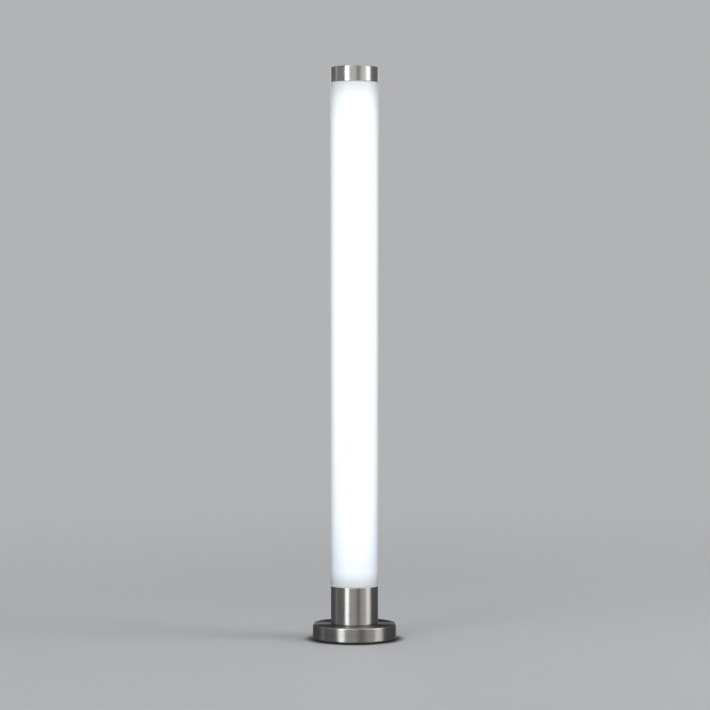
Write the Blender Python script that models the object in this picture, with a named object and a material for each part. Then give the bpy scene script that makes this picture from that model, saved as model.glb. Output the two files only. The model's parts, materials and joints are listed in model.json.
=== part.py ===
"""Free-standing LED light tube: an opal column lamp with a turned steel base, collar and lift-off cap.

Everything is stacked on one vertical axis, the Z axis, and clamped by a central tie rod. The origin is on
the floor, under the middle of the base. The front is towards -Y; the power inlet and the foot switch are
at the rear, towards +Y.
"""

import math

import bmesh
import bpy
from mathutils import Vector

MM = 0.001

# ---------------------------------------------------------------- driving dimensions
TUBE_RADIUS = 50 * MM
TUBE_WALL = 4 * MM
TUBE_EDGE_ROUND = 2.5 * MM
BASE_RADIUS = 88 * MM
BASE_HEIGHT = 30 * MM
BASE_EDGE_ROUND = 3 * MM
FOOT_HEIGHT = 3 * MM
COLLAR_TOP = 112 * MM
CAP_HEIGHT = 31.8 * MM
TOTAL_HEIGHT = 1200 * MM

REST_GAP = 0.3 * MM
PUSH_FIT = 0.4 * MM
SEAL_THICKNESS = 0.4 * MM
SHEET = 1.8 * MM

# ---------------------------------------------------------------- levels up the stack
BASE_BOTTOM = FOOT_HEIGHT
BASE_TOP = BASE_BOTTOM + BASE_HEIGHT
SHELL_TOP_THICKNESS = 3 * MM
SHELL_WALL = 2.5 * MM
SHELL_CEILING = BASE_TOP - SHELL_TOP_THICKNESS
SHELL_BORE = BASE_RADIUS - SHELL_WALL
PLATE_BOTTOM = BASE_BOTTOM + 0.9 * MM
PLATE_TOP = PLATE_BOTTOM + 2.4 * MM
CAP_TOP = TOTAL_HEIGHT
CAP_BOTTOM = CAP_TOP - CAP_HEIGHT
TUBE_BOTTOM = COLLAR_TOP + SEAL_THICKNESS + 2 * REST_GAP
TUBE_TOP = CAP_BOTTOM - SEAL_THICKNESS - 2 * REST_GAP
TUBE_BORE = TUBE_RADIUS - TUBE_WALL
COLLAR_RADIUS = TUBE_RADIUS - 0.2 * MM
COLLAR_BORE = COLLAR_RADIUS - SHEET

# ---------------------------------------------------------------- central rod, seat and light core
ROD_RADIUS = 4 * MM
ROD_HOLE = ROD_RADIUS + 0.5 * MM
ROD_BOTTOM = 17 * MM
ROD_CHAMFER = 0.7 * MM
HUB_FLANGE_TOP = BASE_TOP + REST_GAP + 6 * MM
HUB_TOP = 60 * MM
CORE_HALF = 16 * MM
CORE_FLAT = 20 * MM
CORE_BORE = 9 * MM
CORE_BOTTOM = HUB_TOP + REST_GAP
CORE_PLUG_LENGTH = 6 * MM
SEAT_SKIRT_BOTTOM = 98 * MM
SEAT_WEB_BOTTOM = 103 * MM
SEAT_WEB_TOP = 107 * MM
SEAT_TOP = 127.5 * MM
SPIGOT_PLATE_TOP = TUBE_TOP - 16 * MM
SPIGOT_PLATE_BOTTOM = SPIGOT_PLATE_TOP - 4.7 * MM
CORE_TOP = SPIGOT_PLATE_BOTTOM - REST_GAP
NECK_RADIUS = 44.5 * MM
NECK_BORE = 41 * MM
NECK_TOP = TUBE_TOP + 17 * MM
RING_GROOVE = 7 * MM
GROOVE_DEPTH = 1.2 * MM
RING_WIRE = 2 * MM
BOARD_WIDTH = 16 * MM
BOARD_THICKNESS = 1.6 * MM

# ---------------------------------------------------------------- foot switch and inlet, at the rear
SWITCH_Y = 66 * MM
SWITCH_BARREL = 9 * MM
BUTTON_RADIUS = 8 * MM
BUTTON_TRAVEL = 3 * MM
BEZEL_TOP = BASE_TOP + 1.6 * MM
INLET_Z = BASE_BOTTOM + BASE_HEIGHT / 2
INLET_RADIUS = 7 * MM

# ---------------------------------------------------------------- fasteners and foot ring
FOOT_RING_RADIUS = SHELL_BORE - 0.5 * MM
FOOT_RING_BORE = 80.2 * MM
PLATE_SCREW_CIRCLE = 74 * MM
PLATE_SCREW_TOP = 15.6 * MM
HUB_BOLT_CIRCLE = 34 * MM
BOLT_SEAT = 19.3 * MM
BOLT_HOLE = 2.8 * MM
BOLT_HEAD = 4.3 * MM
WIRE_HOLE_Y = 20 * MM
WIRE_HOLE_RADIUS = 5 * MM

# Corners in a full circle, and the part of a step that puts a corner between two others
SPARSE, COARSE, MEDIUM, FINE = 12, 16, 24, 40
BETWEEN_CORNERS = 0.5


# ---------------------------------------------------------------- materials
def material(name, colour, roughness, metallic=0.0, emission=0.0):
    made = bpy.data.materials.new(name)
    made.use_nodes = True
    shader = made.node_tree.nodes["Principled BSDF"]
    shader.inputs["Base Color"].default_value = (*colour, 1)
    shader.inputs["Roughness"].default_value = roughness
    shader.inputs["Metallic"].default_value = metallic
    shader.inputs["Emission Color"].default_value = (*colour, 1)
    shader.inputs["Emission Strength"].default_value = emission
    return made


def all_materials():
    return {
        "brushed_steel": material("brushed_steel", (0.56, 0.55, 0.53), 0.3, 1),
        "opal": material("opal", (0.95, 0.97, 1.0), 0.35, emission=1.0),
        "aluminium": material("aluminium", (0.75, 0.76, 0.78), 0.4, 1),
        "zinc": material("zinc", (0.6, 0.61, 0.63), 0.35, 1),
        "iron": material("iron", (0.13, 0.13, 0.14), 0.7, 0.6),
        "rubber": material("rubber", (0.03, 0.03, 0.03), 0.8),
        "silicone": material("silicone", (0.35, 0.35, 0.36), 0.6),
        "led_board": material("led_board", (0.9, 0.9, 0.86), 0.4),
        "circuit_board": material("circuit_board", (0.03, 0.2, 0.09), 0.4),
        "black_plastic": material("black_plastic", (0.02, 0.02, 0.02), 0.4),
        "copper": material("copper", (0.7, 0.35, 0.2), 0.35, 1),
        "red_wire": material("red_wire", (0.5, 0.02, 0.02), 0.5),
        "black_wire": material("black_wire", (0.02, 0.02, 0.02), 0.5),
    }


# ---------------------------------------------------------------- modelling helpers
def clear_scene():
    for obj in list(bpy.data.objects):
        bpy.data.objects.remove(obj)


def add_object(name, mesh, finish):
    obj = bpy.data.objects.new(name, mesh)
    bpy.context.scene.collection.objects.link(obj)
    if finish is not None:
        mesh.materials.append(finish)
    return obj


def finished_mesh(name, shape):
    """A mesh datablock from a bmesh, with outward normals and smooth round sides."""
    bmesh.ops.recalc_face_normals(shape, faces=shape.faces)
    mesh = bpy.data.meshes.new(name)
    shape.to_mesh(mesh)
    shape.free()
    mesh.shade_smooth()
    mesh.set_sharp_from_angle(angle=math.radians(35))
    return mesh


def turned(name, profile, finish, segments=MEDIUM, at=(0, 0, 0), phase=0.0):
    """A solid of revolution about Z. profile is a list of (radius, height).

    One that starts and ends on the axis is closed by it, and any other is a closed ring section.
    """
    shape = bmesh.new()
    rings = []
    for radius, height in profile:
        if radius == 0:
            rings.append([shape.verts.new((0, 0, height))] * segments)
            continue
        rings.append([shape.verts.new((x, y, height)) for x, y in circle(radius, segments, phase)])
    on_axis = profile[0][0] == 0
    pairs = list(zip(rings, rings[1:] + rings[:1]))
    for first, second in pairs[:-1] if on_axis else pairs:
        for step in range(segments):
            after = (step + 1) % segments
            corners = [first[step], first[after], second[after], second[step]]
            shape.faces.new(list(dict.fromkeys(corners)))
    obj = add_object(name, finished_mesh(name, shape), finish)
    obj.location = at
    return obj


def prism(name, outlines, bottom, top, finish, at=(0, 0)):
    """Straight extrusion along Z of a flat outline. outlines is the outer loop, then any holes."""
    shape = bmesh.new()
    edges = []
    for outline in outlines:
        loop = [shape.verts.new((x, y, bottom)) for x, y in outline]
        edges += [shape.edges.new(pair) for pair in zip(loop, loop[1:] + loop[:1])]
    bmesh.ops.triangle_fill(shape, use_beauty=True, use_dissolve=False, edges=edges)
    raised = bmesh.ops.extrude_face_region(shape, geom=shape.faces[:])["geom"]
    lift = Vector((0, 0, top - bottom))
    bmesh.ops.translate(shape, vec=lift, verts=[v for v in raised if isinstance(v, bmesh.types.BMVert)])
    obj = add_object(name, finished_mesh(name, shape), finish)
    obj.location = (*at, 0)
    return obj


def circle(radius, segments, phase=0.0, centre=(0, 0)):
    """Corners of a regular polygon. phase turns it by that part of one step."""
    turns = [2 * math.pi * (step + phase) / segments for step in range(segments)]
    return [(centre[0] + radius * math.cos(t), centre[1] + radius * math.sin(t)) for t in turns]


def rectangle(width, depth, centre=(0, 0)):
    corners = [(-1, -1), (1, -1), (1, 1), (-1, 1)]
    return [(centre[0] + x * width / 2, centre[1] + y * depth / 2) for x, y in corners]


def hexagon(across_flats):
    return circle(across_flats / math.sqrt(3), 6)


def rounding(centre_r, centre_z, radius, start, end, steps=3):
    """Points of a quarter round on a profile, from start to end in degrees."""
    angles = [math.radians(start + (end - start) * step / steps) for step in range(steps + 1)]
    return [(centre_r + radius * math.cos(a), centre_z + radius * math.sin(a)) for a in angles]


def on_circle(radius, degrees):
    angle = math.radians(degrees)
    return radius * math.cos(angle), radius * math.sin(angle)


def cut(obj, cutter):
    """Removes the cutter's shape from obj."""
    cutter.hide_render = True
    cutter.display_type = "WIRE"
    boolean = obj.modifiers.new("cut_" + cutter.name, "BOOLEAN")
    boolean.operation = "DIFFERENCE"
    boolean.solver = "EXACT"
    boolean.object = cutter


def drill(obj, name, radius, x, y, bottom, top, segments=COARSE):
    """A straight hole down through obj. Its corners miss the seams of a piece turned about the Z axis."""
    cut(obj, prism(name, [circle(radius, segments, BETWEEN_CORNERS)], bottom, top, None, at=(x, y)))


def smooth_route(points, per_span):
    """Catmull-Rom points through the route's own points."""
    knots = [Vector(p) for p in points]
    ends = [2 * knots[0] - knots[1], *knots, 2 * knots[-1] - knots[-2]]
    route = []
    for before, start, end, after in zip(ends, ends[1:], ends[2:], ends[3:]):
        for step in range(per_span):
            t = step / per_span
            bend = 2 * before - 5 * start + 4 * end - after
            twist = 3 * start - 3 * end + after - before
            route.append((2 * start + (end - before) * t + bend * t * t + twist * t**3) / 2)
    return [*route, knots[-1]]


def lead(name, points, finish):
    """An insulated wire as a round tube along a smooth route."""
    route = smooth_route([[value * MM for value in p] for p in points], 2)
    curve = bpy.data.curves.new(name, "CURVE")
    curve.dimensions = "3D"
    curve.bevel_depth = 0.9 * MM
    curve.bevel_resolution = 1
    curve.use_fill_caps = True
    spline = curve.splines.new("POLY")
    spline.points.add(len(route) - 1)
    for knot, place in zip(spline.points, route):
        knot.co = (*place, 1)
    return add_object(name, curve, finish)


# ---------------------------------------------------------------- base
def make_base(m):
    shell = turned(
        "base_shell",
        [
            (BASE_RADIUS - 0.8 * MM, BASE_BOTTOM),
            (BASE_RADIUS, BASE_BOTTOM + 0.8 * MM),
            *rounding(BASE_RADIUS - BASE_EDGE_ROUND, BASE_TOP - BASE_EDGE_ROUND, BASE_EDGE_ROUND, 0, 90),
            (ROD_HOLE, BASE_TOP),
            (ROD_HOLE, SHELL_CEILING),
            (SHELL_BORE - 1.5 * MM, SHELL_CEILING),
            (SHELL_BORE, SHELL_CEILING - 1.5 * MM),
            (SHELL_BORE, BASE_BOTTOM),
        ],
        m["brushed_steel"],
        FINE,
    )
    through = (SHELL_CEILING - 4 * MM, BASE_TOP + 4 * MM)
    drill(shell, "cutter_shell_wires", WIRE_HOLE_RADIUS, 0, WIRE_HOLE_Y, *through)
    drill(shell, "cutter_shell_switch", SWITCH_BARREL + REST_GAP, 0, SWITCH_Y, *through, segments=MEDIUM)
    for number, (x, y) in enumerate(hub_bolt_places()):
        drill(shell, f"cutter_shell_bolt_{number}", BOLT_HOLE, x, y, *through)
    hole, reach = INLET_RADIUS + REST_GAP, 8 * MM
    inlet_cutter = turned(
        "cutter_shell_inlet",
        [(0, -reach), (hole, -reach), (hole, reach), (0, reach)],
        None,
        MEDIUM,
        at=(0, BASE_RADIUS, INLET_Z),
        phase=BETWEEN_CORNERS,
    )
    inlet_cutter.rotation_euler = (math.radians(-90), 0, 0)
    cut(shell, inlet_cutter)


def make_ballast(m):
    """Cast ring with a rear pocket for the driver and switch, and a slot from there to its bore."""
    bottom, top = PLATE_TOP + REST_GAP, SHELL_CEILING - REST_GAP
    bore, rim = 22 * MM, SHELL_BORE - 1 * MM
    ballast = turned(
        "ballast_weight",
        [
            (bore, bottom),
            (rim - 1 * MM, bottom),
            (rim, bottom + 1 * MM),
            (rim, top - 2 * MM),
            (rim - 2 * MM, top),
            (bore, top),
        ],
        m["iron"],
        MEDIUM,
    )
    beyond = (bottom - 2 * MM, top + 2 * MM)
    pocket = rectangle(84 * MM, 80 * MM, centre=(0, 64 * MM))
    slot = rectangle(36 * MM, 30 * MM, centre=(0, 18 * MM))
    cut(ballast, prism("cutter_ballast_pocket", [pocket], *beyond, None))
    cut(ballast, prism("cutter_ballast_slot", [slot], *beyond, None))
    for number, (x, y) in enumerate(hub_bolt_places()):
        cut(ballast, bolt_cutter(f"cutter_ballast_bolt_{number}", *beyond, (x, y, 0)))
    hole_top = PLATE_SCREW_TOP + 0.4 * MM
    for number, (x, y) in enumerate(plate_screw_places()):
        drill(ballast, f"cutter_ballast_screw_{number}", 2.3 * MM, x, y, beyond[0], hole_top)


def bolt_cutter(name, bottom, top, place):
    """A bolt's clearance hole with a wider counterbore below it."""
    counterbore = BOLT_HEAD + 0.5 * MM
    return turned(
        name,
        [
            (0, bottom),
            (counterbore, bottom),
            (counterbore, BOLT_SEAT),
            (BOLT_HOLE, BOLT_SEAT),
            (BOLT_HOLE, top),
            (0, top),
        ],
        None,
        COARSE,
        at=place,
        phase=BETWEEN_CORNERS,
    )


def make_bottom_plate(m):
    rim = SHELL_BORE - REST_GAP
    plate = turned(
        "bottom_plate",
        [
            (0, PLATE_BOTTOM),
            (rim - 0.3 * MM, PLATE_BOTTOM),
            (rim, PLATE_BOTTOM + 0.3 * MM),
            (rim, PLATE_TOP),
            (0, PLATE_TOP),
        ],
        m["zinc"],
        FINE,
    )
    for number, (x, y) in enumerate(plate_screw_places()):
        sink = turned(
            f"cutter_plate_screw_{number}",
            [
                (0, PLATE_BOTTOM - 1 * MM),
                (5.5 * MM, PLATE_BOTTOM - 1 * MM),
                (2.5 * MM, PLATE_BOTTOM + 2 * MM),
                (2.5 * MM, PLATE_TOP + 1 * MM),
                (0, PLATE_TOP + 1 * MM),
            ],
            None,
            COARSE,
            at=(x, y, 0),
            phase=BETWEEN_CORNERS,
        )
        cut(plate, sink)


def plate_screw_places():
    return [on_circle(PLATE_SCREW_CIRCLE, degrees) for degrees in (45, 135, 225, 315)]


def hub_bolt_places():
    return [on_circle(HUB_BOLT_CIRCLE, degrees) for degrees in (30, 150, 270)]


def make_plate_screws(m):
    """Countersunk screws that hold the bottom plate to the ballast, each with a conical drive recess."""
    for number, (x, y) in enumerate(plate_screw_places(), 1):
        turned(
            f"plate_screw_{number}",
            [
                (0, PLATE_BOTTOM + 1.4 * MM),
                (1.2 * MM, PLATE_BOTTOM + 0.2 * MM),
                (3.8 * MM, PLATE_BOTTOM + 0.2 * MM),
                (2 * MM, PLATE_BOTTOM + 2 * MM),
                (2 * MM, PLATE_SCREW_TOP - 0.6 * MM),
                (0, PLATE_SCREW_TOP),
            ],
            m["zinc"],
            COARSE,
            at=(x, y, 0),
        )


def make_foot_ring(m):
    """Rubber ring under the bottom plate, just inside the shell's rim. The lamp stands on it."""
    top, edge = PLATE_BOTTOM - REST_GAP, 0.6 * MM
    turned(
        "foot_ring",
        [
            (FOOT_RING_BORE + edge, 0),
            (FOOT_RING_RADIUS - edge, 0),
            (FOOT_RING_RADIUS, edge),
            (FOOT_RING_RADIUS, top),
            (FOOT_RING_BORE, top),
            (FOOT_RING_BORE, edge),
        ],
        m["rubber"],
        FINE,
    )


# ---------------------------------------------------------------- collar and lower seat
def make_hub(m):
    """Turned boss that carries the light core and the collar, bolted up through the ballast and shell."""
    bottom = BASE_TOP + REST_GAP
    rim, stem = COLLAR_BORE - PUSH_FIT, 14 * MM
    plug_top = HUB_TOP + CORE_PLUG_LENGTH
    hub = turned(
        "hub",
        [
            (ROD_HOLE, bottom),
            (rim, bottom),
            (rim, HUB_FLANGE_TOP),
            (stem + 3 * MM, HUB_FLANGE_TOP),
            (stem, HUB_FLANGE_TOP + 3 * MM),
            (stem, HUB_TOP),
            (CORE_BORE - PUSH_FIT, HUB_TOP),
            (CORE_BORE - 1 * MM, plug_top),
            (ROD_HOLE, plug_top),
        ],
        m["aluminium"],
        MEDIUM,
    )
    below, above = bottom - 2 * MM, HUB_FLANGE_TOP + 4 * MM
    drill(hub, "cutter_hub_wires", WIRE_HOLE_RADIUS - 1 * MM, 0, WIRE_HOLE_Y, below, above)
    for number, (x, y) in enumerate(hub_bolt_places()):
        drill(hub, f"cutter_hub_bolt_{number}", BOLT_HOLE, x, y, below, HUB_FLANGE_TOP - 0.8 * MM)


def make_hub_bolts(m):
    """Socket-head bolts, heads down in the ballast's counterbores. Each socket is a round blind hole."""
    shank, socket = 2.5 * MM, 2 * MM
    head_bottom, head_top = BOLT_SEAT - 5.3 * MM, BOLT_SEAT - REST_GAP
    tip = HUB_FLANGE_TOP - 1.2 * MM
    for number, (x, y) in enumerate(hub_bolt_places(), 1):
        turned(
            f"hub_bolt_{number}",
            [
                (0, head_bottom + 2.5 * MM),
                (socket, head_bottom + 2.5 * MM),
                (socket, head_bottom),
                (BOLT_HEAD, head_bottom),
                (BOLT_HEAD, head_top),
                (shank, head_top),
                (shank, tip),
                (0, tip),
            ],
            m["zinc"],
            COARSE,
            at=(x, y, 0),
        )


def make_collar(m):
    bottom = BASE_TOP + REST_GAP
    turned(
        "collar",
        [
            (COLLAR_BORE, bottom),
            (COLLAR_RADIUS - 0.4 * MM, bottom),
            (COLLAR_RADIUS, bottom + 0.4 * MM),
            (COLLAR_RADIUS, COLLAR_TOP - 0.4 * MM),
            (COLLAR_RADIUS - 0.4 * MM, COLLAR_TOP),
            (COLLAR_BORE, COLLAR_TOP),
        ],
        m["brushed_steel"],
        FINE,
    )


def make_seat(m):
    """Stepped ring that joins the collar's bore to the tube's bore and steadies the light core."""
    skirt, spigot = COLLAR_BORE - PUSH_FIT, TUBE_BORE - PUSH_FIT
    shoulder = COLLAR_TOP - REST_GAP
    rim_bore, web_bore = 42.6 * MM, 25 * MM
    seat = turned(
        "tube_seat",
        [
            (skirt, SEAT_SKIRT_BOTTOM),
            (skirt, shoulder),
            (spigot, shoulder),
            (spigot, SEAT_TOP - 1 * MM),
            (spigot - 1 * MM, SEAT_TOP),
            (rim_bore, SEAT_TOP),
            (rim_bore, SEAT_WEB_TOP),
            (web_bore, SEAT_WEB_TOP),
            (web_bore, SEAT_WEB_BOTTOM),
            (rim_bore, SEAT_WEB_BOTTOM),
            (rim_bore, SEAT_SKIRT_BOTTOM),
        ],
        m["aluminium"],
        MEDIUM,
    )
    web = (SEAT_WEB_BOTTOM - 3 * MM, SEAT_WEB_TOP + 3 * MM)
    drill(seat, "cutter_seat_wires", 4.5 * MM, 0, 33 * MM, *web)


def make_seals(m):
    """Flat silicone rings between the tube's ends and the metal above and below it."""
    inner, outer = TUBE_BORE + 0.2 * MM, TUBE_RADIUS - 1 * MM
    for name, bottom in (
        ("lower_seal", COLLAR_TOP + REST_GAP),
        ("upper_seal", TUBE_TOP + REST_GAP),
    ):
        top = bottom + SEAL_THICKNESS
        section = [(inner, bottom), (outer, bottom), (outer, top), (inner, top)]
        turned(name, section, m["silicone"], MEDIUM)


# ---------------------------------------------------------------- diffuser and upper end
def make_tube(m):
    round_centre = TUBE_RADIUS - TUBE_EDGE_ROUND
    turned(
        "diffuser_tube",
        [
            (TUBE_BORE, TUBE_BOTTOM),
            *rounding(round_centre, TUBE_BOTTOM + TUBE_EDGE_ROUND, TUBE_EDGE_ROUND, -90, 0, 2),
            *rounding(round_centre, TUBE_TOP - TUBE_EDGE_ROUND, TUBE_EDGE_ROUND, 0, 90, 2),
            (TUBE_BORE, TUBE_TOP),
        ],
        m["opal"],
        FINE,
    )


def make_spigot(m):
    """Upper centring plug: it plugs the tube, holds the core's top end, and its neck guides the cap."""
    groove_bottom = TUBE_TOP + RING_GROOVE
    groove_top = groove_bottom + 2 * (RING_WIRE + REST_GAP)
    groove_floor = NECK_RADIUS - GROOVE_DEPTH
    skirt = TUBE_BORE - PUSH_FIT
    plug_bottom = SPIGOT_PLATE_BOTTOM - CORE_PLUG_LENGTH + 1 * MM
    turned(
        "upper_spigot",
        [
            (ROD_HOLE, plug_bottom),
            (CORE_BORE - 1 * MM, plug_bottom),
            (CORE_BORE - PUSH_FIT, SPIGOT_PLATE_BOTTOM),
            (skirt, SPIGOT_PLATE_BOTTOM),
            (skirt, TUBE_TOP),
            (NECK_RADIUS, TUBE_TOP),
            (NECK_RADIUS, groove_bottom),
            (groove_floor, groove_bottom),
            (groove_floor, groove_top),
            (NECK_RADIUS, groove_top),
            (NECK_RADIUS, NECK_TOP - 1 * MM),
            (NECK_RADIUS - 1 * MM, NECK_TOP),
            (NECK_BORE, NECK_TOP),
            (NECK_BORE, SPIGOT_PLATE_TOP),
            (ROD_HOLE, SPIGOT_PLATE_TOP),
        ],
        m["aluminium"],
        MEDIUM,
    )


def make_neck_ring(m):
    """Rubber ring in the neck's groove, which grips the cap from inside."""
    middle_z = TUBE_TOP + RING_GROOVE + RING_WIRE + REST_GAP
    middle_r = NECK_RADIUS - GROOVE_DEPTH + REST_GAP + RING_WIRE
    section = rounding(middle_r, middle_z, RING_WIRE, 0, 360, 6)[:-1]
    turned("neck_o_ring", section, m["rubber"], MEDIUM)


def make_cap(m):
    edge, roof = 1.5 * MM, 2.5 * MM
    turned(
        "top_cap",
        [
            (0, CAP_TOP),
            *rounding(COLLAR_RADIUS - edge, CAP_TOP - edge, edge, 90, 0, 2),
            (COLLAR_RADIUS, CAP_BOTTOM + 0.4 * MM),
            (COLLAR_RADIUS - 0.4 * MM, CAP_BOTTOM),
            (COLLAR_BORE, CAP_BOTTOM),
            (COLLAR_BORE, CAP_TOP - roof),
            (0, CAP_TOP - roof),
        ],
        m["brushed_steel"],
        FINE,
    )


# ---------------------------------------------------------------- tie rod and light core
def make_tie_rod(m):
    """Rod that clamps the stack from the shell's top to the spigot. Each end has a washer and a nut."""
    end, rod_top = ROD_RADIUS - ROD_CHAMFER, TUBE_TOP - 4 * MM
    turned(
        "tie_rod",
        [
            (0, ROD_BOTTOM),
            (end, ROD_BOTTOM),
            (ROD_RADIUS, ROD_BOTTOM + ROD_CHAMFER),
            (ROD_RADIUS, rod_top - ROD_CHAMFER),
            (end, rod_top),
            (0, rod_top),
        ],
        m["zinc"],
        COARSE,
    )
    hole = circle(ROD_RADIUS + REST_GAP, COARSE)
    washer = circle(11 * MM, COARSE)
    nut = hexagon(13 * MM)
    thickness = 1.6 * MM
    nut_near, nut_far = thickness + REST_GAP, thickness + REST_GAP + 6.5 * MM
    under = SHELL_CEILING - REST_GAP
    over = SPIGOT_PLATE_TOP + REST_GAP
    prism("rod_washer_bottom", [washer, hole], under - thickness, under, m["zinc"])
    prism("rod_nut_bottom", [nut, hole], under - nut_far, under - nut_near, m["zinc"])
    prism("rod_washer_top", [washer, hole], over, over + thickness, m["zinc"])
    prism("rod_nut_top", [nut, hole], over + nut_near, over + nut_far, m["zinc"])


def make_core(m):
    """Four-sided aluminium extrusion with a cooling fin in each corner groove."""
    flat = CORE_FLAT / 2
    root, tip_low, tip_high = 11.2 * MM, 13 * MM, 14.5 * MM
    quarter = [
        (CORE_HALF, flat),
        (root, flat),
        (tip_high, tip_low),
        (tip_low, tip_high),
        (flat, root),
        (flat, CORE_HALF),
    ]
    outline = []
    for turn in range(4):
        c, s = round(math.cos(turn * math.pi / 2)), round(math.sin(turn * math.pi / 2))
        outline += [(c * x - s * y, s * x + c * y) for x, y in quarter]
    prism("led_core", [outline, circle(CORE_BORE, COARSE)], CORE_BOTTOM, CORE_TOP, m["aluminium"])


def make_boards(m):
    """Four light boards, each a white board with one raised phosphor line along its middle."""
    back = CORE_HALF + REST_GAP
    front = back + BOARD_THICKNESS
    crest = front + 0.9 * MM
    half, line = BOARD_WIDTH / 2, 2.5 * MM
    section = [
        (back, -half),
        (front, -half),
        (front, -line),
        (crest, -line),
        (crest, line),
        (front, line),
        (front, half),
        (back, half),
    ]
    bottom, top = SEAT_WEB_TOP + 3.5 * MM, CORE_TOP - 2 * MM
    for number in range(4):
        board = prism(f"led_board_{number + 1}", [section], bottom, top, m["led_board"])
        board.rotation_euler = (0, 0, math.radians(90 * number - 90))


def make_junction_board(m):
    """Ring board round the core's foot that shares the supply among the four light boards."""
    bottom, opening = SEAT_WEB_TOP + REST_GAP, 42 * MM
    prism(
        "junction_board",
        [circle(41 * MM, MEDIUM), rectangle(opening, opening)],
        bottom,
        bottom + BOARD_THICKNESS,
        m["circuit_board"],
    )


# ---------------------------------------------------------------- driver in the base's rear pocket
DRIVER_Y = 40 * MM
DRIVER_BOTTOM = 12 * MM
DRIVER_TOP = DRIVER_BOTTOM + BOARD_THICKNESS
ON_BOARD = DRIVER_TOP + REST_GAP


def driver_screw_places():
    reach_x, reach_y = 33 * MM, 11 * MM
    return [(x * reach_x, DRIVER_Y + y * reach_y) for x in (-1, 1) for y in (-1, 1)]


def make_driver(m):
    holes = [circle(1.8 * MM, SPARSE, centre=(x, y - DRIVER_Y)) for x, y in driver_screw_places()]
    outline, middle = rectangle(74 * MM, 30 * MM), (0, DRIVER_Y)
    prism("driver_board", [outline, *holes], DRIVER_BOTTOM, DRIVER_TOP, m["circuit_board"], at=middle)
    for number, (x, y) in enumerate(driver_screw_places(), 1):
        turned(
            f"driver_pillar_{number}",
            [
                (0, PLATE_TOP + REST_GAP),
                (3 * MM, PLATE_TOP + REST_GAP),
                (3 * MM, DRIVER_BOTTOM - REST_GAP),
                (1.5 * MM, DRIVER_BOTTOM - REST_GAP),
                (1.5 * MM, ON_BOARD),
                (2.8 * MM, ON_BOARD),
                (2.4 * MM, ON_BOARD + 1.8 * MM),
                (0, ON_BOARD + 1.8 * MM),
            ],
            m["zinc"],
            SPARSE,
            at=(x, y, 0),
        )
    for number, x in enumerate((-6 * MM, 6 * MM), 1):
        turned(
            f"driver_capacitor_{number}",
            [
                (0, ON_BOARD),
                (5 * MM, ON_BOARD),
                (5 * MM, ON_BOARD + 11.5 * MM),
                (4.3 * MM, ON_BOARD + 12 * MM),
                (0, ON_BOARD + 12 * MM),
            ],
            m["black_plastic"],
            COARSE,
            at=(x, DRIVER_Y + 3 * MM, 0),
        )
    turned(
        "driver_inductor",
        [
            (0, ON_BOARD),
            (7 * MM, ON_BOARD),
            (7 * MM, ON_BOARD + 1.5 * MM),
            (5.6 * MM, ON_BOARD + 2 * MM),
            (5.6 * MM, ON_BOARD + 7 * MM),
            (7 * MM, ON_BOARD + 7.5 * MM),
            (7 * MM, ON_BOARD + 9 * MM),
            (0, ON_BOARD + 9 * MM),
        ],
        m["copper"],
        COARSE,
        at=(21 * MM, DRIVER_Y - 5 * MM, 0),
    )
    block, block_top = [rectangle(11 * MM, 8.5 * MM)], ON_BOARD + 8 * MM
    for name, x, y in (
        ("terminal_inlet", 20 * MM, DRIVER_Y + 10 * MM),
        ("terminal_switch", -20 * MM, DRIVER_Y + 10 * MM),
        ("terminal_leds", -22 * MM, DRIVER_Y - 7 * MM),
    ):
        prism(name, block, ON_BOARD, block_top, m["black_plastic"], at=(x, y))


# ---------------------------------------------------------------- inlet
def make_inlet(m):
    """Round low-voltage socket in the rear wall, with its mouth just inside the wall's outer face."""
    front, back = BASE_RADIUS - 1 * MM, BASE_RADIUS - 12 * MM
    recess_floor = BASE_RADIUS - 6 * MM
    mouth, well = 4.8 * MM, 2.75 * MM
    pin_radius, pin_end = 1.05 * MM, recess_floor - REST_GAP
    socket = turned(
        "dc_inlet",
        [
            (0, back),
            (INLET_RADIUS, back),
            (INLET_RADIUS, front - 0.5 * MM),
            (INLET_RADIUS - 0.5 * MM, front),
            (mouth, front),
            (mouth, recess_floor),
            (well, recess_floor),
            (well, back + 1.5 * MM),
            (0, back + 1.5 * MM),
        ],
        m["black_plastic"],
        MEDIUM,
    )
    pin = turned(
        "dc_inlet_pin",
        [
            (0, back + 1.8 * MM),
            (pin_radius, back + 1.8 * MM),
            (pin_radius, pin_end - 0.4 * MM),
            (0.6 * MM, pin_end),
            (0, pin_end),
        ],
        m["zinc"],
        SPARSE,
    )
    nut = prism(
        "dc_inlet_nut",
        [hexagon(17 * MM), circle(INLET_RADIUS + REST_GAP, MEDIUM)],
        back + 5.4 * MM,
        back + 8.4 * MM,
        m["zinc"],
    )
    for piece in (socket, pin, nut):
        piece.rotation_euler = (math.radians(-90), 0, 0)
        piece.location = (0, 0, INLET_Z)


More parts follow.
